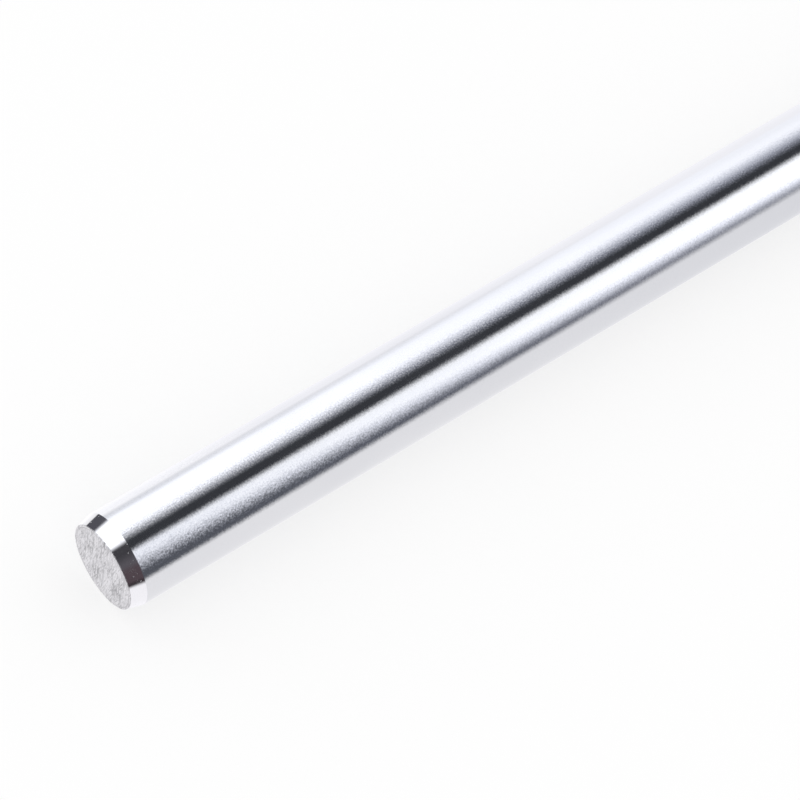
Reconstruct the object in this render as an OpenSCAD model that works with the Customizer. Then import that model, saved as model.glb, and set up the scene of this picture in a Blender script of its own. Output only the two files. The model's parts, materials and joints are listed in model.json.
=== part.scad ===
// Precision linear shaft: a ground round bar with a lead-in chamfer at each end.
// It lies along X, with the origin on its axis at mid-length. Millimetres, +Z up.

/* [Shaft] */
// Ground diameter that the bearings run on
shaft_d = 12; // [6:0.5:50]
// Overall length between the two end faces
shaft_length = 200; // [60:1:1000]

/* [Lead-in chamfers] */
// Length of each chamfer along the axis
chamfer_length = 2; // [0.5:0.05:4]
// Angle of each chamfer to the axis, in degrees
chamfer_angle = 15; // [10:1:30]

/* [Edge break] */
// Width of the small flat where a chamfer meets the end face, on each side of the corner
rim_break = 0.1; // [0.02:0.01:0.3]

/* [Hidden] */
$fn = 96;

// Radius of the ground surface
shaft_r = shaft_d / 2;
// The end faces are this far from the origin
half_length = shaft_length / 2;

// Corners of one end's half section, before the edge break: radius, then height along the axis.
rim = [shaft_r - chamfer_length * tan(chamfer_angle), half_length];
shoulder = [shaft_r, half_length - chamfer_length];

// The point that is a given distance along the line from one point to another.
function along(from, to, distance) = from + (to - from) * distance / norm(to - from);

// One end's half section, from the axis out to the ground surface.
upper_end = [
    [0, half_length],
    along(rim, [0, half_length], rim_break),
    along(rim, shoulder, rim_break),
    shoulder
];

// The other end is the same turned over, so its points run back to the axis.
lower_end = [
    for (i = [len(upper_end) - 1 : -1 : 0])
        [upper_end[i][0], -upper_end[i][1]]
];

// The bar: its half section turned about the axis and laid along X.
module shaft() {
    color("silver")
        rotate([0, 90, 0])
            rotate_extrude()
                polygon(concat(upper_end, lower_end));
}

shaft();
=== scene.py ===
"""Linear shaft: a ground and polished steel bar with a turned lead-in chamfer at each end.

The shaft is one mesh, turned by Geometry Nodes from its half section. It has three finishes: the ground
surface that bearings run on, the turned chamfers and the cut end faces. Metres, +X along the shaft, +Z up.
"""

import json
import logging
import math
from dataclasses import dataclass, field
from enum import Enum

import bpy
import numpy as np
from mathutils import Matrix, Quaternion, Vector


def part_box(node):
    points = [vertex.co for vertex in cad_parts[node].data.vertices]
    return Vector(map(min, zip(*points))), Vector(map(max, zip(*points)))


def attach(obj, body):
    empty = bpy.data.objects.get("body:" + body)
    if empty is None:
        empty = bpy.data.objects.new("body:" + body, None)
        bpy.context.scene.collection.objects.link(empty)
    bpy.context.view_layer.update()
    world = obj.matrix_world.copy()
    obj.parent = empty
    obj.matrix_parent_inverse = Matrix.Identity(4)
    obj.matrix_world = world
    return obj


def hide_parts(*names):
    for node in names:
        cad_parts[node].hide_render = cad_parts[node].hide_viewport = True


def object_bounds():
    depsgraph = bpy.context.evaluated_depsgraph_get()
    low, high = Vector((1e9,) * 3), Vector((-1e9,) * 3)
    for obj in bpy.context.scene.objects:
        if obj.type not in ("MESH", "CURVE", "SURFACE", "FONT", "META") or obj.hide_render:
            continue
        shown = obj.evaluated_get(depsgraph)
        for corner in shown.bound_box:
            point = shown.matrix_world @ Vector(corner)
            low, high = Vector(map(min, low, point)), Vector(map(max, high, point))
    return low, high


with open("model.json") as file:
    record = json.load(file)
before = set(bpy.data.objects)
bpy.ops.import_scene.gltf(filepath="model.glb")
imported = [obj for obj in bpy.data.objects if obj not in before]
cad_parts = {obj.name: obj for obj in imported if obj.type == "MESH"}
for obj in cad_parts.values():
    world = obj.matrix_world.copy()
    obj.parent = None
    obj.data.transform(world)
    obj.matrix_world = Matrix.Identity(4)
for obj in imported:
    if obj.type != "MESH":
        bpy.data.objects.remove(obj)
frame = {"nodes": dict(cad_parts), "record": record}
CAD_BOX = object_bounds()

Socket = bpy.types.NodeSocket
Inputs = dict[str | int, object]
Colour = tuple[float, float, float]
Span = tuple[float, float]
MILLI = 0.001
MICRO = 0.000001
WHITE: Colour = (1.0, 1.0, 1.0)
ALONG = (1.0, 0.0, 0.0)

log = logging.getLogger("linear_shaft")


class Zone(Enum):
    """The shaft's three kinds of surface, each with the number of its material slot."""

    GROUND = 0
    CHAMFER = 1
    END_FACE = 2


def rgba(colour: Colour) -> tuple[float, float, float, float]:
    """Gives a colour with full alpha."""
    return (*colour, 1.0)


def put(name: str, data: bpy.types.ID) -> bpy.types.Object:
    """Puts a new object into the scene.

    Args:
        name: The object's name.
        data: Its mesh or camera.

    Returns:
        The object.
    """
    thing = bpy.data.objects.new(name, data)
    bpy.context.scene.collection.objects.link(thing)
    return thing


class NodeSheet:
    """Adds and links the nodes of one tree.

    Attributes:
        tree: The node tree that is filled.
    """

    # A Mix node's share, two colours and mixed colour, by number, because their names repeat.
    MIX_INPUTS = (0, 6, 7)
    MIX_RESULT = 2

    def __init__(self, tree: bpy.types.NodeTree) -> None:
        """Keeps the tree and empties it."""
        self.tree = tree
        tree.nodes.clear()

    def add(self, kind: str, inputs: Inputs | None = None, **settings: object) -> bpy.types.Node:
        """Adds a node.

        Args:
            kind: The node's type name.
            inputs: Sockets to link and plain values to set, by an input's name or number.
            **settings: Properties to set on the node.

        Returns:
            The new node.
        """
        node = self.tree.nodes.new(kind)
        for name, value in settings.items():
            setattr(node, name, value)
        for name, value in (inputs or {}).items():
            if isinstance(value, Socket):
                self.tree.links.new(value, node.inputs[name])
            else:
                node.inputs[name].default_value = value
        return node

    def math(self, operation: str, *values: object) -> Socket:
        """Gives the result of a Math node."""
        return self.add("ShaderNodeMath", dict(enumerate(values)), operation=operation).outputs[0]

    def _join(self, operation: str, values: tuple[object, ...]) -> Socket:
        """Joins numbers from the left by one operation.

        Args:
            operation: Blender's name of the operation.
            values: Numbers or sockets.

        Returns:
            The result's socket.
        """
        result = values[0]
        for value in values[1:]:
            result = self.math(operation, result, value)
        return result

    def total(self, *values: object) -> Socket:
        """Gives the sum of numbers."""
        return self._join("ADD", values)

    def product(self, *values: object) -> Socket:
        """Gives the product of numbers."""
        return self._join("MULTIPLY", values)

    def highest(self, *values: object) -> Socket:
        """Gives the highest of numbers."""
        return self._join("MAXIMUM", values)

    def distance(self, value: Socket, other: object) -> Socket:
        """Gives how far a number is from another."""
        return self.math("ABSOLUTE", self.math("SUBTRACT", value, other))

    def degrees(self, rise: object, run: object) -> Socket:
        """Gives the angle of a rise over a run, in degrees."""
        return self.math("DEGREES", self.math("ARCTAN2", rise, run))

    def ramp(
        self,
        value: Socket,
        low: object,
        high: object,
        start: object = 0.0,
        end: object = 1.0,
        smooth: bool = True,
    ) -> Socket:
        """Adds a Map Range node, held at its ends.

        Args:
            value: What is read.
            low: The value that gives start.
            high: The value that gives end.
            start: The result at low.
            end: The result at high.
            smooth: Whether the ramp eases in and out.

        Returns:
            The result's socket.
        """
        kind = "SMOOTHSTEP" if smooth else "LINEAR"
        inputs = dict(enumerate((value, low, high, start, end)))
        return self.add("ShaderNodeMapRange", inputs, interpolation_type=kind, clamp=True).outputs[0]

    def blend(self, share: object, first: object, second: object) -> Socket:
        """Adds a colour Mix node.

        Args:
            share: How much of the second colour shows.
            first: A colour, or a socket.
            second: A colour, or a socket.

        Returns:
            The mixed colour's socket.
        """
        ends = [end if isinstance(end, Socket) else rgba(end) for end in (first, second)]
        inputs = dict(zip(self.MIX_INPUTS, (share, *ends)))
        return self.add("ShaderNodeMix", inputs, data_type="RGBA").outputs[self.MIX_RESULT]

    def vector(self, operation: str, *vectors: object) -> Socket:
        """Gives the result of a Vector Math node."""
        return self.add("ShaderNodeVectorMath", dict(enumerate(vectors)), operation=operation).outputs[0]

    def scaled(self, vector: Socket, scale: object) -> Socket:
        """Gives a vector or a colour times a number."""
        return self.add("ShaderNodeVectorMath", {0: vector, "Scale": scale}, operation="SCALE").outputs[0]

    def split(self, vector: Socket) -> list[Socket]:
        """Gives a vector's three numbers."""
        return list(self.add("ShaderNodeSeparateXYZ", {0: vector}).outputs)

    def noise(self, vector: Socket, scale: object = 1.0, detail: float = 1.0) -> Socket:
        """Gives a noise from 0 to 1, by its features for each unit and its finer layers."""
        inputs = {"Vector": vector, "Scale": scale, "Detail": detail}
        return self.add("ShaderNodeTexNoise", inputs, noise_dimensions="3D").outputs[0]

    def group(self, tree: bpy.types.NodeTree, **inputs: object) -> bpy.types.Node:
        """Adds a node group, whose inputs are named with _ for a space."""
        named = {name.replace("_", " "): value for name, value in inputs.items()}
        return self.add("ShaderNodeGroup", named, node_tree=tree)


class SharedEffects:
    """Shader node groups for the finishes. The ripple is for ground steel, and the rest for all.

    Attributes:
        fine_lines: Short tool marks, from a vector that is scaled to their length and pitch.
        ripple: A faint ripple with a slightly helical lay, which tilts the surface along the shaft.
        handling: Soft smudges, a few hairline scratches and small flecks.
        edge_band: A narrow band along an edge: wear along a turned edge, and on an end face a ring of
            painted shade inside the rim.
    """

    # Values of a noise between which each effect comes in.
    DEEP_MARKS: Span = (0.52, 0.38)
    SMUDGES: Span = (0.42, 0.66)
    SCRATCHED: Span = (0.56, 0.62)
    FLECKS: Span = (0.71, 0.76)
    # The value about which a noise swings, and how close to it a scratch lies.
    MIDDLE = 0.5
    SCRATCH_REACH = 0.006
    # How many flecks fit into the spacing of the scratches, and the smudges' finer layers.
    FLECKS_FOR_SCRATCH = 3.0
    SMUDGE_LAYERS = 3.0
    # How the band along an edge wanders: features for each metre, finer layers, the noise's values and their
    # widths.
    WANDERS = 900.0
    WANDER_LAYERS = 2.0
    WANDER_VALUES: Span = (0.3, 0.7)
    WANDER_WIDTHS: Span = (0.4, 1.6)

    def __init__(self) -> None:
        """Builds the groups."""
        self.fine_lines = self._fine_lines()
        self.ripple = self._ripple()
        self.handling = self._handling()
        self.edge_band = self._edge_band()

    @staticmethod
    def _start(name: str, ins: dict[str, str], outs: dict[str, str]) -> tuple[NodeSheet, bpy.types.Node]:
        """Starts a group.

        Args:
            name: The group's name.
            ins: Each input's name and kind.
            outs: Each output's name and kind.

        Returns:
            The sheet over its tree, and its input node.
        """
        tree = bpy.data.node_groups.new(name, "ShaderNodeTree")
        for way, sockets in (("INPUT", ins), ("OUTPUT", outs)):
            for label, kind in sockets.items():
                tree.interface.new_socket(label, in_out=way, socket_type=f"NodeSocket{kind}")
        sheet = NodeSheet(tree)
        return sheet, sheet.add("NodeGroupInput")

    def _fine_lines(self) -> bpy.types.NodeTree:
        """Builds the tool marks.

        Returns:
            A group with the marks' height, and a mask of the deeper ones.
        """
        outs = {"Height": "Float", "Deep": "Float"}
        sheet, given = self._start("Fine lines", {"Vector": "Vector"}, outs)
        height = sheet.noise(given.outputs["Vector"])
        sheet.add("NodeGroupOutput", {"Height": height, "Deep": sheet.ramp(height, *self.DEEP_MARKS)})
        return sheet.tree

    def _ripple(self) -> bpy.types.NodeTree:
        """Builds the ripple.

        Returns:
            A group with the tilted normal.
        """
        ins = {"Vector": "Vector", "Normal": "Vector", "Slope": "Float", "Lay": "Float"}
        sheet, given = self._start("Ripple", ins, {"Normal": "Vector"})
        normal = given.outputs["Normal"]
        swing = sheet.math("SUBTRACT", sheet.noise(given.outputs["Vector"]), self.MIDDLE)
        tilt = sheet.product(swing, given.outputs["Slope"])
        round_it = sheet.vector("CROSS_PRODUCT", normal, ALONG)
        way = sheet.vector("ADD", sheet.scaled(round_it, given.outputs["Lay"]), ALONG)
        leaning = sheet.vector("ADD", normal, sheet.scaled(way, tilt))
        sheet.add("NodeGroupOutput", {"Normal": sheet.vector("NORMALIZE", leaning)})
        return sheet.tree

    def _handling(self) -> bpy.types.NodeTree:
        """Builds the traces of handling.

        Returns:
            A group with the smudges, the scratches and the flecks as masks.
        """
        sizes = {"Vector": "Vector", "Smudge Size": "Float", "Scratch Size": "Float"}
        outs = {"Smudge": "Float", "Scratch": "Float", "Fleck": "Float"}
        sheet, given = self._start("Handling", sizes, outs)
        place = given.outputs["Vector"]
        smudges = sheet.math("DIVIDE", 1.0, given.outputs["Smudge Size"])
        smudge = sheet.noise(place, smudges, self.SMUDGE_LAYERS)
        scratches = sheet.math("DIVIDE", 1.0, given.outputs["Scratch Size"])
        path = sheet.distance(sheet.noise(place, scratches), self.MIDDLE)
        thin = sheet.ramp(path, self.SCRATCH_REACH, 0.0)
        dots = sheet.noise(place, sheet.product(scratches, self.FLECKS_FOR_SCRATCH))
        masks = {
            "Smudge": sheet.ramp(smudge, *self.SMUDGES),
            "Scratch": sheet.product(thin, sheet.ramp(smudge, *self.SCRATCHED)),
            "Fleck": sheet.ramp(dots, *self.FLECKS),
        }
        sheet.add("NodeGroupOutput", masks)
        return sheet.tree

    def _edge_band(self) -> bpy.types.NodeTree:
        """Builds the band along an edge, whose width wanders a little: wear on a turned edge, with a lighter
        painted glint on a chamfer, and painted shade inside an end face's rim.

        Returns:
            A group with the band as a mask.
        """
        sizes = {"Vector": "Vector", "Distance": "Float", "Edge": "Float", "Width": "Float"}
        sheet, given = self._start("Edge band", sizes, {"Band": "Float"})
        wander = sheet.noise(given.outputs["Vector"], self.WANDERS, self.WANDER_LAYERS)
        wander = sheet.ramp(wander, *self.WANDER_VALUES, *self.WANDER_WIDTHS)
        reach = sheet.product(given.outputs["Width"], wander)
        off = sheet.distance(given.outputs["Distance"], given.outputs["Edge"])
        sheet.add("NodeGroupOutput", {"Band": sheet.ramp(off, reach, 0.0)})
        return sheet.tree


@dataclass(frozen=True)
class ToolMarks:
    """One set of fine marks that a tool left.

    Attributes:
        size: Size of a mark along X, Y and Z, in metres.
        depth: Its depth, in metres.
        share: How far the deeper marks change the colour and the roughness. On an end face their darker
            colour is painted shade in the grooves.
        turn: How far the marks are turned about X, in degrees.
    """

    size: tuple[float, float, float]
    depth: float
    share: float
    turn: float = 0.0

    def build(self, sheet: NodeSheet, effects: SharedEffects, place: Socket) -> tuple[Socket, Socket]:
        """Adds the marks to a material.

        Args:
            sheet: The sheet over the material's tree.
            effects: The shared node groups.
            place: Object coordinates.

        Returns:
            The marks' height in metres, and the mask of the deeper ones times their share.
        """
        inputs = {"Vector": place, "Rotation": (math.radians(self.turn), 0.0, 0.0), "Scale": self.size}
        spot = sheet.add("ShaderNodeMapping", inputs, vector_type="TEXTURE").outputs[0]
        lines = sheet.group(effects.fine_lines, Vector=spot)
        height = sheet.product(lines.outputs["Height"], self.depth)
        return height, sheet.product(lines.outputs["Deep"], self.share)


@dataclass(frozen=True)
class Lane:
    """A lane along the shaft in which the grinding wheel left more or less ripple.

    Attributes:
        turns: Turns about the shaft at which the lane starts, is full, starts to fade and ends, in degrees
            up from level on the camera's side.
        change: What the lane adds at either end of the ripple's span, as a share of the ripple elsewhere.
    """

    turns: tuple[float, float, float, float]
    change: Span

    def build(self, sheet: NodeSheet, turn: Socket, off: Socket, span: Span) -> Socket:
        """Adds the lane to a material.

        Args:
            sheet: The sheet over the material's tree.
            turn: Angle about the shaft, in degrees.
            off: Distance from mid-length.
            span: Distances from mid-length between which the ripple changes.

        Returns:
            What the lane adds to the ripple's strength.
        """
        start, full, fading, end = self.turns
        inside = sheet.product(sheet.ramp(turn, start, full), sheet.ramp(turn, end, fading))
        return sheet.product(inside, sheet.ramp(off, *span, *self.change))


@dataclass(frozen=True)
class Ripple:
    """A faint ripple from the grinding wheel, which tilts the surface along the shaft.

    Attributes:
        size: Size of a ripple, in metres.
        span: Distances from mid-length, in metres, between which the ripple changes.
        slope: How far the surface tilts at either end of the span, as a share of 1.
        lay: How much of the tilt goes round the shaft there, because the wheel's marks are a little helical.
        lanes: Lanes along the shaft in which the ripple is stronger or weaker.
    """

    size: float
    span: Span
    slope: Span
    lay: Span
    lanes: tuple[Lane, ...]

    def build(self, sheet: NodeSheet, effects: SharedEffects, place: Socket, normal: Socket) -> Socket:
        """Adds the ripple to a material.

        Args:
            sheet: The sheet over the material's tree.
            effects: The shared node groups.
            place: Object coordinates.
            normal: The normal before the ripple.

        Returns:
            The tilted normal.
        """
        spot = sheet.scaled(place, 1.0 / self.size)
        x, y, z = sheet.split(place)
        off = sheet.math("ABSOLUTE", x)
        turn = sheet.degrees(z, sheet.product(y, -1.0))
        changes = [lane.build(sheet, turn, off, self.span) for lane in self.lanes]
        slope = sheet.product(sheet.ramp(off, *self.span, *self.slope), sheet.total(1.0, *changes))
        lay = sheet.ramp(off, *self.span, *self.lay)
        waves = sheet.group(effects.ripple, Vector=spot, Normal=normal, Slope=slope, Lay=lay)
        return waves.outputs["Normal"]


@dataclass(frozen=True)
class SteelFinish:
    """How one zone of the steel looks.

    Attributes:
        name: The material's name.
        colour: The steel's colour where it is clean.
        marked_colour: Its colour in marks and smudges. On the chamfers it is lighter, a painted glint, and
            on the end faces dark, painted shade in the deeper grooves and the ring inside the rim.
        roughness: How rough the clean surface is.
        marked_roughness: How rough it is in marks and smudges.
        marks: The sets of tool marks.
        smudge_size: Size of a smudge, in metres.
        scratch_size: Spacing of the hairline scratches, in metres.
        edge: Where the band along the edge is: its distance from mid-length, or on an end face its radius.
        edge_width: Width of that band, in metres.
        radial: Whether the edge is given by its radius.
        even: How strong the marks are outside smudges, as a share of their strength in them.
        smudge_share: How far smudges change the colour and the roughness.
        scratch_share: How far scratches do.
        fleck_share: How far flecks do.
        wear_and_painted_light_share: How far the band along the edge does: wear, with a lighter painted
            glint on the chamfers, and painted shade in a ring on the end faces.
        ripple: The ripple that grinding left, if any.
    """

    name: str
    colour: Colour
    marked_colour: Colour
    roughness: float
    marked_roughness: float
    marks: tuple[ToolMarks, ...]
    smudge_size: float
    scratch_size: float
    edge: float
    edge_width: float
    radial: bool = False
    even: float = 1.0
    smudge_share: float = 0.35
    scratch_share: float = 0.8
    fleck_share: float = 0.0
    wear_and_painted_light_share: float = 0.6
    ripple: Ripple | None = None

    def build(self, effects: SharedEffects) -> bpy.types.Material:
        """Builds the material.

        Args:
            effects: The shared node groups.

        Returns:
            The material.
        """
        material = bpy.data.materials.new(self.name)
        material.use_nodes = True
        sheet = NodeSheet(material.node_tree)
        place = sheet.add("ShaderNodeTexCoord").outputs["Object"]
        handling = sheet.group(
            effects.handling, Vector=place, Smudge_Size=self.smudge_size, Scratch_Size=self.scratch_size
        )
        smudge = handling.outputs["Smudge"]
        strength = sheet.ramp(smudge, 0.0, 1.0, self.even, 1.0, smooth=False)
        heights = []
        masks = []
        for tool in self.marks:
            height, mask = tool.build(sheet, effects, place)
            heights.append(height)
            masks.append(sheet.product(mask, strength))
        masks.append(sheet.product(smudge, self.smudge_share))
        masks.append(sheet.product(handling.outputs["Scratch"], self.scratch_share))
        masks.append(sheet.product(handling.outputs["Fleck"], self.fleck_share))
        masks.append(sheet.product(self._wear_and_painted_light_band(sheet, effects, place), self.wear_and_painted_light_share))
        marked = sheet.highest(*masks)
        relief = {"Strength": 1.0, "Distance": 1.0, "Height": sheet.total(*heights)}
        normal = sheet.add("ShaderNodeBump", relief).outputs[0]
        if self.ripple:
            normal = self.ripple.build(sheet, effects, place, normal)
        # The marked colour is a painted glint on the chamfers, and painted shade in the grooves and the ring
        # inside the rim of the end faces.
        looks = {
            "Metallic": 1.0,
            "Base Color": sheet.blend(marked, self.colour, self.marked_colour),
            "Roughness": sheet.ramp(marked, 0.0, 1.0, self.roughness, self.marked_roughness, smooth=False),
            "Normal": normal,
        }
        steel = sheet.add("ShaderNodeBsdfPrincipled", looks)
        sheet.add("ShaderNodeOutputMaterial", {"Surface": steel.outputs[0]})
        return material

    def _wear_and_painted_light_band(self, sheet: NodeSheet, effects: SharedEffects, place: Socket) -> Socket:
        """Adds the band along the zone's edge: wear, a lighter painted glint on a chamfer, and painted shade
        inside the rim of an end face.

        Args:
            sheet: The sheet over the material's tree.
            effects: The shared node groups.
            place: Object coordinates.

        Returns:
            The band as a mask.
        """
        x, y, z = sheet.split(place)
        if self.radial:
            distance = sheet.math("SQRT", sheet.total(sheet.product(y, y), sheet.product(z, z)))
        else:
            distance = sheet.math("ABSOLUTE", x)
        band = sheet.group(
            effects.edge_band, Vector=place, Distance=distance, Edge=self.edge, Width=self.edge_width
        )
        return band.outputs["Band"]


class Lathe:
    """Geometry Nodes tree that turns a half section about X.

    The section comes as an edge mesh in the XY plane, with two numbers on each vertex: "round", the radius
    of its corner, and "cuts", how many rings go into the line that follows it.

    Attributes:
        tree: The tree.
        keys: The modifier's identifier of each named input.
    """

    NAME = "Turned section"
    # The grid's side. The grid is centred, so half of its side makes places on it count from 0.
    GRID = 1.0
    # Points closer than this become one, which closes the seam and the middles of the end faces.
    SEAM = 0.1 * MICRO
    # A distance from mid-length that every face is beyond.
    EVERYWHERE = -1.0

    def __init__(self) -> None:
        """Builds the tree."""
        self.tree = bpy.data.node_groups.new(self.NAME, "GeometryNodeTree")
        self.keys: dict[str, str] = {}
        kinds = {"Geometry": "Geometry", "Turns": "Int", "Corner Steps": "Int"}
        kinds.update({"Rim": "Float", "Shoulder": "Float"})
        kinds.update({zone.name: "Material" for zone in Zone})
        for name, kind in kinds.items():
            socket = self.tree.interface.new_socket(name, in_out="INPUT", socket_type=f"NodeSocket{kind}")
            self.keys[name] = socket.identifier
        self.tree.interface.new_socket("Geometry", in_out="OUTPUT", socket_type="NodeSocketGeometry")
        sheet = NodeSheet(self.tree)
        given = sheet.add("NodeGroupInput")
        turned = self._turned(sheet, given, self._section(sheet, given))
        sheet.add("NodeGroupOutput", {0: self._dressed(sheet, given, turned)})

    @staticmethod
    def _number(sheet: NodeSheet, name: str, kind: str) -> Socket:
        """Reads a vertex's number by name."""
        node = sheet.add("GeometryNodeInputNamedAttribute", {"Name": name}, data_type=kind)
        return node.outputs["Attribute"]

    def _section(self, sheet: NodeSheet, given: bpy.types.Node) -> Socket:
        """Rounds the section's corners and adds its rings.

        Args:
            sheet: The sheet over the tree.
            given: The group's inputs.

        Returns:
            The section as a curve.
        """
        curve = sheet.add("GeometryNodeMeshToCurve", {"Mesh": given.outputs["Geometry"]})
        corners = {
            "Curve": curve.outputs[0],
            "Count": given.outputs["Corner Steps"],
            "Radius": self._number(sheet, "round", "FLOAT"),
        }
        rounded = sheet.add("GeometryNodeFilletCurve", corners, mode="POLY")
        rings = {"Curve": rounded.outputs[0], "Cuts": self._number(sheet, "cuts", "INT")}
        return sheet.add("GeometryNodeSubdivideCurve", rings).outputs[0]

    def _turned(self, sheet: NodeSheet, given: bpy.types.Node, section: Socket) -> Socket:
        """Bends a grid round the axis, one row for each point of the section.

        Args:
            sheet: The sheet over the tree.
            given: The group's inputs.
            section: The section's curve.

        Returns:
            The closed, smooth mesh.
        """
        size = sheet.add("GeometryNodeAttributeDomainSize", {0: section}, component="CURVE")
        points = size.outputs["Point Count"]
        sides = {
            "Size X": self.GRID,
            "Size Y": self.GRID,
            "Vertices X": points,
            "Vertices Y": sheet.total(given.outputs["Turns"], 1.0),
        }
        grid = sheet.add("GeometryNodeMeshGrid", sides)
        place = sheet.add("GeometryNodeInputPosition").outputs[0]
        row, column, _ = sheet.split(place)
        last = sheet.math("SUBTRACT", points, 1.0)
        number = sheet.math("ROUND", sheet.product(sheet.total(row, self.GRID / 2), last))
        wanted = {"Geometry": section, "Value": place, "Index": number}
        sample = sheet.add("GeometryNodeSampleIndex", wanted, data_type="FLOAT_VECTOR", domain="POINT")
        along, radius, _ = sheet.split(sample.outputs[0])
        # Going round this way makes the faces point outwards.
        angle = sheet.product(sheet.total(column, self.GRID / 2), -math.tau)
        across = sheet.product(radius, sheet.math("COSINE", angle))
        up = sheet.product(radius, sheet.math("SINE", angle))
        there = sheet.add("ShaderNodeCombineXYZ", {0: along, 1: across, 2: up}).outputs[0]
        bent = sheet.add("GeometryNodeSetPosition", {"Geometry": grid.outputs["Mesh"], "Position": there})
        seam = {"Geometry": bent.outputs[0], "Distance": self.SEAM}
        closed = sheet.add("GeometryNodeMergeByDistance", seam)
        return sheet.add("GeometryNodeSetShadeSmooth", {"Geometry": closed.outputs[0]}).outputs[0]

    def _dressed(self, sheet: NodeSheet, given: bpy.types.Node, shape: Socket) -> Socket:
        """Gives each zone its material, from mid-length outwards.

        Args:
            sheet: The sheet over the tree.
            given: The group's inputs.
            shape: The mesh.

        Returns:
            The mesh with its materials.
        """
        shape = sheet.add("GeometryNodeRealizeInstances", {0: shape}).outputs[0]
        x, _, _ = sheet.split(sheet.add("GeometryNodeInputPosition").outputs[0])
        out = sheet.math("ABSOLUTE", x)
        starts = (self.EVERYWHERE, given.outputs["Shoulder"], given.outputs["Rim"])
        for zone, start in zip(Zone, starts):
            dress = {
                "Geometry": shape,
                "Material": given.outputs[zone.name],
                "Selection": sheet.math("GREATER_THAN", out, start),
            }
            shape = sheet.add("GeometryNodeSetMaterial", dress).outputs[0]
        return shape


@dataclass(frozen=True)
class FlatPattern:
    """Where each zone of the shaft lies on its square map, in millimetres.

    Attributes:
        side: Side of the square.
        gap: Space round each patch.
        disc_scale: How much larger than life the end faces lie.
        slant_scale: How much larger than life the chamfers lie across their width.
    """

    side: float = 100.0
    gap: float = 1.0
    disc_scale: float = 1.65
    slant_scale: float = 2.0

    @staticmethod
    def _read(items: bpy.types.bpy_prop_collection, name: str, kind: type, width: int = 1) -> np.ndarray:
        """Reads one property of all items.

        Args:
            items: A mesh's vertices, corners or faces.
            name: The property's name.
            kind: The kind of its numbers.
            width: How many numbers each item has.

        Returns:
            The numbers in one row.
        """
        values = np.empty(len(items) * width, dtype=kind)
        items.foreach_get(name, values)
        return values

    def lay(self, mesh: bpy.types.Mesh, shaft: "Shaft") -> None:
        """Lays the mesh out on its own map.

        Args:
            mesh: The shaft's mesh.
            shaft: Its sizes.
        """
        corner = self._read(mesh.loops, "vertex_index", np.int32)
        points = self._read(mesh.vertices, "co", np.float64, 3)
        x, y, z = points.reshape(-1, 3)[corner].T / MILLI
        totals = self._read(mesh.polygons, "loop_total", np.int32)
        zone = np.repeat(self._read(mesh.polygons, "material_index", np.int32), totals)
        middles = self._read(mesh.polygons, "center", np.float64, 3)
        mid_x, mid_y, mid_z = np.repeat(middles.reshape(-1, 3), totals, axis=0).T
        far = mid_x > 0
        mid_turn = np.arctan2(mid_z, mid_y) % math.tau
        step = np.arctan2(z, y) - mid_turn
        turn = mid_turn + (step + math.pi) % math.tau - math.pi

        radius = shaft.radius / MILLI
        belt = math.tau * radius
        u = self.gap + np.abs(x)
        v = self.gap + turn * radius + far * (belt + self.gap)
        shelf = 3 * self.gap + 2 * belt
        slant = (np.abs(x) - shaft.shoulder / MILLI) * self.slant_scale
        strip = (shaft.half_length - shaft.shoulder) / MILLI * self.slant_scale + self.gap
        on_cone = zone == Zone.CHAMFER.value
        u = np.where(on_cone, self.gap + turn * radius, u)
        v = np.where(on_cone, shelf + slant + far * strip, v)
        reach = shaft.face_radius / MILLI * self.disc_scale + self.gap
        on_face = zone == Zone.END_FACE.value
        u = np.where(on_face, belt + reach + far * 2 * reach + 2 * self.gap + y * self.disc_scale, u)
        v = np.where(on_face, shelf + reach + z * self.disc_scale, v)
        chart = mesh.uv_layers.new(name="OFBake")
        chart.data.foreach_set("uv", (np.stack([u, v], axis=1) / self.side).ravel())


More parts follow.
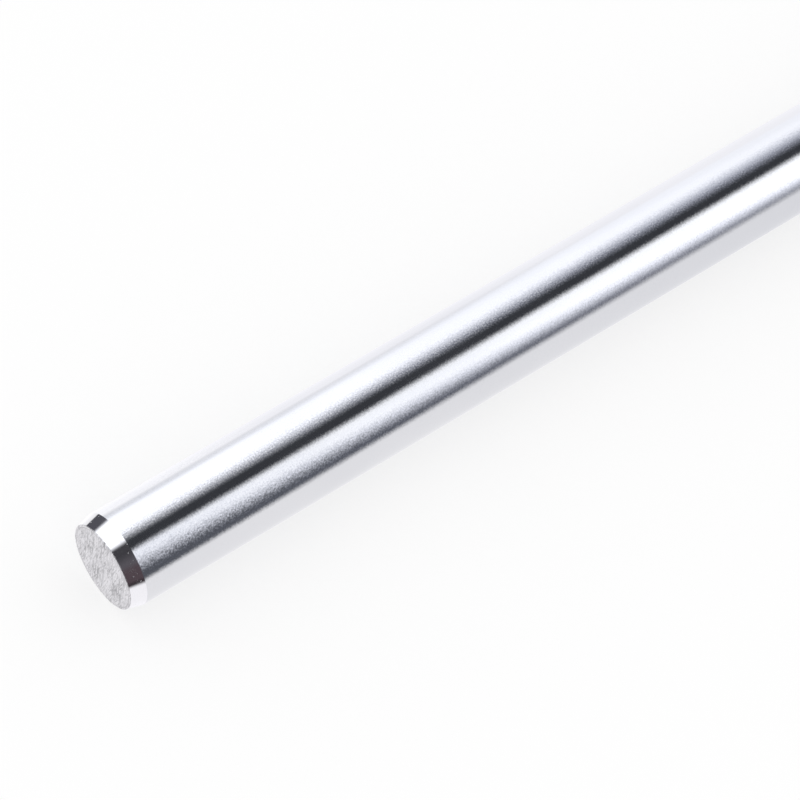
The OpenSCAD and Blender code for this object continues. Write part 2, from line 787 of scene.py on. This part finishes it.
@dataclass
class Shaft:
    """The bar itself.

    Attributes:
        half_length: Distance of each end face from mid-length, in metres.
        radius: Radius of the ground surface.
        shoulder: Distance of each chamfer's wide edge from mid-length.
        face_radius: Radius at which a chamfer would meet its end face in a sharp corner.
        rim_round: Radius of the edge between a chamfer and its end face.
        shoulder_round: Radius of the edge between a chamfer and the ground surface.
        edge_ring: Width of the narrow rings that keep the edges crisp.
        face_cuts: Rings that go into each end face.
        chamfer_cuts: Rings that go into each chamfer.
        ground_cuts: Rings that go into the ground surface.
        corner_steps: Steps on each rounded edge.
        turns: Faces round the shaft.
        finishes: The finish of each zone.
    """

    half_length: float
    radius: float
    shoulder: float
    face_radius: float
    rim_round: float = 0.1 * MILLI
    shoulder_round: float = 0.3 * MILLI
    edge_ring: float = 0.12 * MILLI
    face_cuts: int = 11
    chamfer_cuts: int = 5
    ground_cuts: int = 63
    corner_steps: int = 6
    turns: int = 288
    finishes: dict[Zone, SteelFinish] = field(default_factory=dict)

    @classmethod
    def from_frame(cls) -> "Shaft":
        """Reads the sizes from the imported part.

        Returns:
            The shaft at the part's own size.
        """
        low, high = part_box("shaft")
        wall = next(m for m in frame["record"]["mounts"] if m["name"] == "bearing_surface")
        radius = wall["dims"]["r_mm"] * MILLI
        shoulder = wall["dims"]["length_mm"] * MILLI / 2
        rims = [v.co for v in frame["nodes"]["shaft"].data.vertices if v.co.x > shoulder + MICRO]
        top = min(corner.x for corner in rims)
        reach = max(math.hypot(c.y, c.z) for c in rims if c.x < top + MICRO)
        slope = (radius - reach) / (top - shoulder)
        half_length = (high.x - low.x) / 2
        return cls(half_length, radius, shoulder, radius - slope * (half_length - shoulder))

    def section(self) -> list[tuple[float, float, float, int]]:
        """Lists the half section from one end's centre to the other's.

        Returns:
            For each vertex, its place along X, its radius, its corner's radius and its line's cuts.
        """
        run = self.half_length - self.shoulder
        rise = self.radius - self.face_radius
        slant = math.hypot(run, rise)
        dx = run / slant * self.edge_ring
        dr = rise / slant * self.edge_ring
        near = [
            (-self.half_length, 0.0, 0.0, self.face_cuts),
            (-self.half_length, self.face_radius - self.edge_ring, 0.0, 0),
            (-self.half_length, self.face_radius, self.rim_round, 0),
            (-self.half_length + dx, self.face_radius + dr, 0.0, self.chamfer_cuts),
            (-self.shoulder - dx, self.radius - dr, 0.0, 0),
            (-self.shoulder, self.radius, self.shoulder_round, 0),
            (-self.shoulder + self.edge_ring, self.radius, 0.0, self.ground_cuts),
        ]
        cuts = [corner[3] for corner in near]
        far = []
        for corner, count in zip(reversed(near), [0, *reversed(cuts[:-1])]):
            far.append((-corner[0], corner[1], corner[2], count))
        return near + far

    def build(self, effects: SharedEffects) -> bpy.types.Object:
        """Turns the section, dresses the mesh, attaches it to the root body and hides the CAD shaft.

        Args:
            effects: The shared node groups.

        Returns:
            The finished piece.
        """
        section = self.section()
        lines = [(i, i + 1) for i in range(len(section) - 1)]
        outline = bpy.data.meshes.new("shaft_section")
        outline.from_pydata([(x, r, 0.0) for x, r, _, _ in section], lines, [])
        rounds = outline.attributes.new("round", "FLOAT", "POINT")
        rounds.data.foreach_set("value", [corner[2] for corner in section])
        cuts = outline.attributes.new("cuts", "INT", "POINT")
        cuts.data.foreach_set("value", [corner[3] for corner in section])
        blank = put("shaft_blank", outline)
        mesh = self._turn(blank, effects)
        bpy.data.objects.remove(blank)
        FlatPattern().lay(mesh, self)
        piece = put("ground_shaft", mesh)
        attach(piece, "root")
        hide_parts("shaft")
        log.info("%s: %d faces, %s", piece.name, len(mesh.polygons), [m.name for m in mesh.materials])
        return piece

    def _turn(self, blank: bpy.types.Object, effects: SharedEffects) -> bpy.types.Mesh:
        """Turns the blank's section on the lathe.

        Args:
            blank: The section as an object.
            effects: The shared node groups.

        Returns:
            The turned mesh, with its materials.
        """
        lathe = Lathe()
        turning = blank.modifiers.new(Lathe.NAME, "NODES")
        turning.node_group = lathe.tree
        values = {
            "Turns": self.turns,
            "Corner Steps": self.corner_steps,
            "Rim": self.half_length - self.rim_round,
            "Shoulder": self.shoulder,
        }
        for zone in Zone:
            values[zone.name] = self.finishes[zone].build(effects)
        for name, value in values.items():
            turning[lathe.keys[name]] = value
        graph = bpy.context.evaluated_depsgraph_get()
        mesh = bpy.data.meshes.new_from_object(blank.evaluated_get(graph), depsgraph=graph)
        blank.modifiers.remove(turning)
        while None in mesh.materials[:]:
            mesh.materials.pop(index=mesh.materials[:].index(None))
        mesh.name = "ground_shaft"
        return mesh


def steel_finishes(shaft: Shaft) -> dict[Zone, SteelFinish]:
    """Chooses the finish of each zone.

    Args:
        shaft: The shaft, whose edges wear.

    Returns:
        The finish of each zone.
    """
    ground = SteelFinish(
        name="Ground and polished steel",
        colour=(0.785, 0.787, 0.80),
        marked_colour=(0.74, 0.745, 0.765),
        roughness=0.08,
        marked_roughness=0.16,
        marks=(
            ToolMarks(size=(0.2 * MILLI, 0.2 * MILLI, 0.2 * MILLI), depth=0.5 * MICRO, share=0.05),
            ToolMarks(size=(9.0 * MILLI, 0.12 * MILLI, 0.12 * MILLI), depth=0.15 * MICRO, share=0.0),
        ),
        smudge_size=20.0 * MILLI,
        scratch_size=6.0 * MILLI,
        edge=shaft.shoulder,
        edge_width=0.12 * MILLI,
        ripple=Ripple(
            size=0.2 * MILLI,
            span=(35.0 * MILLI, 92.0 * MILLI),
            slope=(0.105, 0.175),
            lay=(-0.2, 0.28),
            lanes=(
                Lane(turns=(31.0, 34.0, 39.0, 42.0), change=(-0.35, -0.3)),
                Lane(turns=(52.0, 57.0, 73.5, 78.0), change=(-0.45, -0.38)),
                Lane(turns=(77.0, 82.5, 89.5, 95.0), change=(0.85, 0.15)),
            ),
        ),
    )
    chamfer = SteelFinish(
        name="Turned steel",
        colour=(0.80, 0.795, 0.80),
        # Lighter than the clean steel: a painted glint on the flecks, scratches and worn rim band, whose
        # higher roughness is real.
        marked_colour=(0.85, 0.85, 0.85),
        roughness=0.07,
        marked_roughness=0.5,
        marks=(ToolMarks(size=(0.06 * MILLI, 3.0 * MILLI, 3.0 * MILLI), depth=0.2 * MICRO, share=0.05),),
        smudge_size=1.6 * MILLI,
        scratch_size=1.1 * MILLI,
        edge=shaft.half_length,
        edge_width=0.15 * MILLI,
        smudge_share=0.1,
        fleck_share=0.9,
    )
    # A ring this far inside the rim is painted dark: painted shade that deepens the dark line of the rounded
    # rim.
    rim_to_shade_ring = 0.28 * MILLI
    end_face = SteelFinish(
        name="Cut steel",
        colour=(0.72, 0.712, 0.715),
        # Dark: smudges, scratches and flecks take it, and so do the deeper grooves and the ring inside the
        # rim, where it is painted shade.
        marked_colour=(0.27, 0.267, 0.27),
        roughness=0.36,
        marked_roughness=0.55,
        # The deeper grooves of these marks take the dark marked colour: painted shade in the grooves.
        marks=(
            ToolMarks(size=(1.0, 0.14 * MILLI, 4.0 * MILLI), depth=10.0 * MICRO, share=0.85, turn=-4.0),
            ToolMarks(size=(1.0, 0.18 * MILLI, 1.1 * MILLI), depth=8.0 * MICRO, share=0.8, turn=12.0),
            ToolMarks(size=(1.0, 1.6 * MILLI, 0.2 * MILLI), depth=6.0 * MICRO, share=0.4, turn=20.0),
        ),
        smudge_size=2.0 * MILLI,
        scratch_size=2.2 * MILLI,
        edge=shaft.face_radius - rim_to_shade_ring,
        edge_width=0.1 * MILLI,
        radial=True,
        even=0.5,
        smudge_share=0.2,
        fleck_share=0.6,
    )
    return {Zone.GROUND: ground, Zone.CHAMFER: chamfer, Zone.END_FACE: end_face}


@dataclass(frozen=True)
class StudioFloor:
    """A plain pale floor, large enough for every view.

    Attributes:
        height: Where the floor lies, in metres.
        half_width: Half of its width.
        colour: Its colour.
        own_light: Share of plain white that the camera sees in it, which keeps the shadow light.
    """

    height: float
    half_width: float = 4.0
    colour: Colour = (0.99, 0.99, 0.99)
    own_light: float = 0.66

    def build(self) -> bpy.types.Object:
        """Builds the floor.

        Returns:
            The floor.
        """
        side = self.half_width
        corners = [(-side, -side), (side, -side), (side, side), (-side, side)]
        mesh = bpy.data.meshes.new("studio_floor")
        mesh.from_pydata([(x, y, self.height) for x, y in corners], [], [(0, 1, 2, 3)])
        mesh.materials.append(self._material())
        floor = put("studio_floor", mesh)
        floor.visible_glossy = False
        log.info("%s: stage", floor.name)
        return floor

    def _material(self) -> bpy.types.Material:
        """Builds the floor's material.

        Returns:
            A matt white that the camera sees a little brighter in the shadow.
        """
        material = bpy.data.materials.new("Studio floor")
        material.use_nodes = True
        sheet = NodeSheet(material.node_tree)
        seen = sheet.add("ShaderNodeLightPath").outputs["Is Camera Ray"]
        matt = sheet.add("ShaderNodeBsdfDiffuse", {"Color": rgba(self.colour)}).outputs[0]
        white = sheet.add("ShaderNodeEmission").outputs[0]
        both = sheet.add("ShaderNodeMixShader", {0: sheet.product(seen, self.own_light), 1: matt, 2: white})
        sheet.add("ShaderNodeOutputMaterial", {"Surface": both.outputs[0]})
        return material


@dataclass(frozen=True)
class Leaning:
    """A number that changes with how far the light leans along the shaft.

    Attributes:
        upright: The number at a lean of 0.
        change: How much a lean of 1 adds.
    """

    upright: float
    change: float

    def build(self, sheet: NodeSheet, lean: Socket) -> Socket:
        """Adds the number to a tree."""
        return sheet.math("MULTIPLY_ADD", lean, self.change, self.upright)


@dataclass(frozen=True)
class MirroredRay:
    """A ray of light that polished steel mirrors, as numbers in the world's tree.

    Attributes:
        sheet: The sheet over the world's tree.
        along: Its direction along the shaft.
        back: Its direction away from the camera's side.
        turn: Its angle about the shaft, in degrees. 0 is level on the camera's side, 90 is straight up, and
            180 is level behind.
        rise: Its angle above the floor on either side, in degrees.
        lean: How far it leans along the shaft. 0 is light that comes from a third of the way towards the
            far end, and 1 from half of the way.
    """

    sheet: NodeSheet
    along: Socket
    back: Socket
    turn: Socket
    rise: Socket
    lean: Socket

    def at(self, number: Leaning) -> Socket:
        """Gives a leaning number at this ray's lean."""
        return number.build(self.sheet, self.lean)


@dataclass(frozen=True)
class NearPanel:
    """The panel on the camera's side, with a soft rise and a crisper upper edge.

    Attributes:
        start: Turn at which it starts to glow.
        full: Turn at which it is brightest.
        edge: Turn at which its upper edge starts.
        end: Turn at which it is dark again.
        level: Its brightest level.
        ahead: Directions along the shaft between which it comes in.
        past: Directions along the shaft between which its other half comes in, past the near end.
        past_level: The level of that half.
        glows: Shares of the full glow between which its tint changes.
        leans: Leans between which its tint changes.
        tint: Its tint where it is dim.
        bright_tint: Its tint where it is bright.
    """

    start: Leaning = Leaning(13.0, -12.0)
    full: Leaning = Leaning(62.3, -17.8)
    edge: Leaning = Leaning(61.2, 6.4)
    end: Leaning = Leaning(76.7, 8.0)
    level: Leaning = Leaning(0.775, 0.17)
    ahead: Span = (-0.05, 0.32)
    past: Span = (-0.3, -0.6)
    past_level: float = 0.9
    glows: Span = (0.6, 1.0)
    leans: Span = (-0.1, 0.4)
    tint: Colour = (1.0, 1.02, 1.1)
    bright_tint: Colour = (1.0, 1.012, 1.045)

    def build(self, ray: MirroredRay) -> Socket:
        """Adds the panel to the world.

        Args:
            ray: The mirrored ray.

        Returns:
            The panel's colour.
        """
        sheet = ray.sheet
        level = sheet.product(sheet.ramp(ray.along, *self.ahead, smooth=False), ray.at(self.level))
        level = sheet.total(level, sheet.ramp(ray.along, *self.past, 0.0, self.past_level))
        glow = sheet.ramp(ray.turn, ray.at(self.start), ray.at(self.full))
        edge = sheet.ramp(ray.turn, ray.at(self.end), ray.at(self.edge))
        bright = sheet.product(sheet.ramp(glow, *self.glows), sheet.ramp(ray.lean, *self.leans))
        tint = sheet.blend(bright, self.tint, self.bright_tint)
        return sheet.scaled(tint, sheet.product(level, glow, edge))


@dataclass(frozen=True)
class FarPanel:
    """The large panel behind the shaft, which starts softly near the top.

    Attributes:
        start: Turn at which it starts to glow.
        lowest_start: Lowest turn at which it does.
        full: Turn at which it is brightest.
        level: Its brightest level.
        fade: Turns between which it fades a little.
        faded: Its level after that, as a share.
        tint: Its tint.
        dim_tint: Its tint where it is dim, at a lean of 1.
    """

    start: Leaning = Leaning(89.5, 3.7)
    lowest_start: float = 87.0
    full: Leaning = Leaning(122.3, 21.0)
    level: Leaning = Leaning(1.04, -0.12)
    fade: Span = (148.0, 172.0)
    faded: float = 0.93
    tint: Colour = (1.0, 1.015, 1.07)
    dim_tint: Colour = (0.92, 0.97, 1.18)

    def build(self, ray: MirroredRay) -> Socket:
        """Adds the panel to the world.

        Args:
            ray: The mirrored ray.

        Returns:
            The panel's colour.
        """
        sheet = ray.sheet
        start = sheet.highest(ray.at(self.start), self.lowest_start)
        glow = sheet.ramp(ray.turn, start, ray.at(self.full))
        fading = sheet.ramp(ray.turn, *self.fade, 1.0, self.faded)
        dim = sheet.math("SUBTRACT", 1.0, glow)
        cool = sheet.product(dim, sheet.ramp(ray.lean, 0.0, 1.0, smooth=False))
        tint = sheet.blend(cool, self.tint, self.dim_tint)
        return sheet.scaled(tint, sheet.product(glow, fading, ray.at(self.level)))


@dataclass(frozen=True)
class DimRoom:
    """The dim room between the panels.

    Attributes:
        foot: Turns between which the room's side leaves its foot's colour.
        head: Turns between which it takes its head's colour.
        overhead: Turns between which the side gives way to what is overhead.
        ahead: Directions along the shaft between which the room cools.
        forward: Directions along the shaft between which the side grows lighter.
        side_colours: The side's colours at its foot, in the middle and at its head.
        cool_colour: Its colour where it has cooled.
        forward_colour: Its colour where it has grown lighter.
        overhead_colours: The colours overhead, before and after the room cools.
    """

    foot: Span = (-4.0, 8.0)
    head: Span = (30.0, 48.0)
    overhead: Span = (46.0, 74.0)
    ahead: Span = (-0.1, 0.15)
    forward: Span = (0.32, 0.49)
    side_colours: tuple[Colour, ...] = ((0.03, 0.024, 0.028), (0.074, 0.055, 0.065), (0.088, 0.082, 0.095))
    cool_colour: Colour = (0.075, 0.08, 0.095)
    forward_colour: Colour = (0.12, 0.127, 0.16)
    overhead_colours: tuple[Colour, ...] = ((0.044, 0.043, 0.05), (0.031, 0.033, 0.039))

    def build(self, ray: MirroredRay) -> Socket:
        """Adds the room to the world.

        Args:
            ray: The mirrored ray.

        Returns:
            The room's colour.
        """
        sheet = ray.sheet
        foot, middle, head = self.side_colours
        side = sheet.blend(sheet.ramp(ray.turn, *self.foot), foot, middle)
        side = sheet.blend(sheet.ramp(ray.turn, *self.head), side, head)
        ahead = sheet.ramp(ray.along, *self.ahead)
        side = sheet.blend(ahead, side, self.cool_colour)
        forward = sheet.ramp(ray.along, *self.forward, smooth=False)
        side = sheet.blend(forward, side, self.forward_colour)
        overhead = sheet.blend(ahead, *self.overhead_colours)
        return sheet.blend(sheet.ramp(ray.turn, *self.overhead), side, overhead)


@dataclass(frozen=True)
class MirroredFloor:
    """The floor as the steel mirrors it, brighter behind the shaft.

    Attributes:
        start: Rise at which the near floor starts to show.
        full: Rise at which it shows fully.
        lowest_lean: Lowest lean by which those two change.
        far_rises: Rises at which the far floor starts to show and shows fully.
        ahead: Directions along the shaft between which the near floor dims.
        leans: Leans between which it dims again.
        far_leans: Leans between which the far floor dims.
        behind: Directions away from the camera's side between which the far floor takes over.
        near_colours: The near floor's colours, at first and after it dims once and twice.
        far_colours: The far floor's colours, before and after it dims.
    """

    start: Leaning = Leaning(3.4, 10.0)
    full: Leaning = Leaning(-11.5, 3.0)
    lowest_lean: float = -0.6
    far_rises: Span = (6.0, -6.0)
    ahead: Span = (0.2, 0.32)
    leans: Span = (0.5, 1.1)
    far_leans: Span = (0.0, 0.3)
    behind: Span = (0.1, 0.8)
    near_colours: tuple[Colour, ...] = ((0.87, 0.865, 0.9), (0.74, 0.738, 0.757), (0.685, 0.688, 0.715))
    far_colours: tuple[Colour, ...] = ((0.945, 0.945, 0.97), (0.85, 0.85, 0.885))

    def build(self, ray: MirroredRay) -> Socket:
        """Adds the floor to the world.

        Args:
            ray: The mirrored ray.

        Returns:
            The floor's colour.
        """
        sheet = ray.sheet
        first, once, twice = self.near_colours
        near = sheet.blend(sheet.ramp(ray.along, *self.ahead), first, once)
        near = sheet.blend(sheet.ramp(ray.lean, *self.leans), near, twice)
        far = sheet.blend(sheet.ramp(ray.lean, *self.far_leans), *self.far_colours)
        return sheet.blend(sheet.ramp(ray.back, *self.behind), near, far)

    def shown(self, ray: MirroredRay, behind: Socket) -> Socket:
        """Adds the part of the world in which the floor shows.

        Args:
            ray: The mirrored ray.
            behind: How far the ray is behind the shaft, from 0 to 1.

        Returns:
            That part as a mask.
        """
        sheet = ray.sheet
        lean = sheet.highest(ray.lean, self.lowest_lean)
        near = sheet.ramp(ray.rise, self.start.build(sheet, lean), self.full.build(sheet, lean))
        return sheet.blend(behind, near, sheet.ramp(ray.rise, *self.far_rises))


@dataclass(frozen=True)
class GapBehind:
    """The dark gap under the far panel, which turns into a thin dim line along the shaft.

    Attributes:
        colour: Its colour.
        foot: Rises between which it darkens.
        haze: Rises below its foot between which a haze sets in.
        haze_share: How dark the haze is, as a share of the gap.
        head: Rises at which it ends and is dark.
        ahead: Directions along the shaft at which it ends and is dark.
        past: Directions along the shaft between which it darkens, past the near end.
        line_rise: Rise of the dim line.
        line_depth: How far that line is dimmed.
        line_spread: Distances from the line's rise at which it ends and is dimmest.
    """

    colour: Colour = (0.075, 0.075, 0.09)
    foot: Span = (-19.0, -14.0)
    haze: Span = (-45.0, -18.0)
    haze_share: float = 0.15
    head: Span = (29.0, 15.0)
    ahead: Span = (0.26, 0.18)
    past: Span = (-0.5, -0.35)
    line_rise: Leaning = Leaning(5.2, -7.0)
    line_depth: Leaning = Leaning(0.33, -0.34)
    line_spread: Span = (16.0, 1.0)

    def build(self, ray: MirroredRay) -> Socket:
        """Adds the gap to the world.

        Args:
            ray: The mirrored ray.

        Returns:
            The gap as a mask.
        """
        sheet = ray.sheet
        haze = sheet.ramp(ray.rise, *self.haze, 0.0, self.haze_share)
        under = sheet.highest(sheet.ramp(ray.rise, *self.foot), haze)
        high = sheet.product(under, sheet.ramp(ray.rise, *self.head))
        wide = sheet.product(sheet.ramp(ray.along, *self.ahead), sheet.ramp(ray.along, *self.past))
        off = sheet.distance(ray.rise, ray.at(self.line_rise))
        depth = sheet.highest(ray.at(self.line_depth), 0.0)
        line = sheet.product(sheet.ramp(off, *self.line_spread), depth)
        return sheet.highest(sheet.product(high, wide), line)


@dataclass(frozen=True)
class StudioSurround:
    """White light all round, and the soft panels that polished steel mirrors.

    Levels and colours are as the steel shows them.

    Attributes:
        steel: The share of light that the steel gives back, by which the levels are divided.
        turns: Highest and lowest turn, both straight down.
        lean_span: Directions along the shaft at which the lean is 0 and 1.
        lean_limits: Lowest and highest lean.
        behind: Directions away from the camera's side between which a ray gets behind the shaft.
        near_panel: The panel on the camera's side.
        far_panel: The panel behind the shaft.
        room: The room between them.
        floor: The floor.
        gap: The gap under the far panel.
    """

    steel: float = 0.79
    turns: Span = (270.0, -90.0)
    lean_span: Span = (0.32, 0.487)
    lean_limits: Span = (-1.0, 1.6)
    behind: Span = (-0.02, 0.02)
    near_panel: NearPanel = NearPanel()
    far_panel: FarPanel = FarPanel()
    room: DimRoom = DimRoom()
    floor: MirroredFloor = MirroredFloor()
    gap: GapBehind = GapBehind()

    def build(self) -> None:
        """Builds the world."""
        world = bpy.data.worlds.new("Studio")
        bpy.context.scene.world = world
        world.use_nodes = True
        sheet = NodeSheet(world.node_tree)
        studio = sheet.scaled(self._studio(self._ray(sheet)), 1.0 / self.steel)
        mirrored = sheet.add("ShaderNodeLightPath").outputs["Is Glossy Ray"]
        light = sheet.add("ShaderNodeBackground", {"Color": sheet.blend(mirrored, WHITE, studio)})
        sheet.add("ShaderNodeOutputWorld", {"Surface": light.outputs[0]})
        log.info("world: %s", world.name)

    def _ray(self, sheet: NodeSheet) -> MirroredRay:
        """Reads where the light comes from.

        Args:
            sheet: The sheet over the world's tree.

        Returns:
            The mirrored ray.
        """
        along, back, up = sheet.split(sheet.add("ShaderNodeTexCoord").outputs["Generated"])
        turn = sheet.math("WRAP", sheet.degrees(up, sheet.product(back, -1.0)), *self.turns)
        rise = sheet.degrees(up, sheet.math("ABSOLUTE", back))
        start, end = self.lean_span
        reach = [start + limit * (end - start) for limit in self.lean_limits]
        lean = sheet.ramp(along, *reach, *self.lean_limits, smooth=False)
        return MirroredRay(sheet, along, back, turn, rise, lean)

    def _studio(self, ray: MirroredRay) -> Socket:
        """Builds what polished steel mirrors.

        Args:
            ray: The mirrored ray.

        Returns:
            The light's colour.
        """
        sheet = ray.sheet
        panels = sheet.vector("ADD", self.near_panel.build(ray), self.far_panel.build(ray))
        air = sheet.vector("ADD", self.room.build(ray), panels)
        behind = sheet.ramp(ray.back, *self.behind)
        light = sheet.blend(self.floor.shown(ray, behind), air, self.floor.build(ray))
        dark = sheet.product(behind, self.gap.build(ray))
        return sheet.blend(dark, light, self.gap.colour)


@dataclass(frozen=True)
class PhotoCamera:
    """The camera, where the photograph was taken from.

    Attributes:
        place: Where it stands, in metres.
        target: The point it looks at.
        roll: How far it leans to its left, in degrees.
        lens: Focal length, in millimetres.
        sensor: Width of the picture behind the lens, in millimetres.
        nearest: Distance from which it sees anything, in metres.
    """

    place: tuple[float, float, float] = (-0.22537, -0.12954, 0.35592)
    target: tuple[float, float, float] = (-0.05773, -0.00077, 0.0)
    roll: float = 17.78
    lens: float = 157.5
    sensor: float = 36.0
    nearest: float = 0.01

    def build(self) -> bpy.types.Object:
        """Builds the camera and makes it the scene's own.

        Returns:
            The camera.
        """
        data = bpy.data.cameras.new("photo_camera")
        data.sensor_width = self.sensor
        data.lens = self.lens
        data.clip_start = self.nearest
        camera = put("photo_camera", data)
        camera.location = self.place
        ahead = Vector(self.target) - Vector(self.place)
        camera.rotation_mode = "QUATERNION"
        lean = Quaternion((0.0, 0.0, 1.0), math.radians(self.roll))
        camera.rotation_quaternion = ahead.to_track_quat("-Z", "Y") @ lean
        bpy.context.scene.camera = camera
        log.info("%s: %.1f mm", camera.name, self.lens)
        return camera


def main() -> None:
    """Builds the shaft, the studio and the camera."""
    logging.basicConfig(level=logging.INFO, format="%(name)s: %(message)s")
    bpy.context.scene.view_settings.view_transform = "Standard"
    shaft = Shaft.from_frame()
    shaft.finishes = steel_finishes(shaft)
    shaft.build(SharedEffects())
    StudioFloor(CAD_BOX[0].z).build()
    StudioSurround().build()
    PhotoCamera().build()


if __name__ == "__main__":
    main()
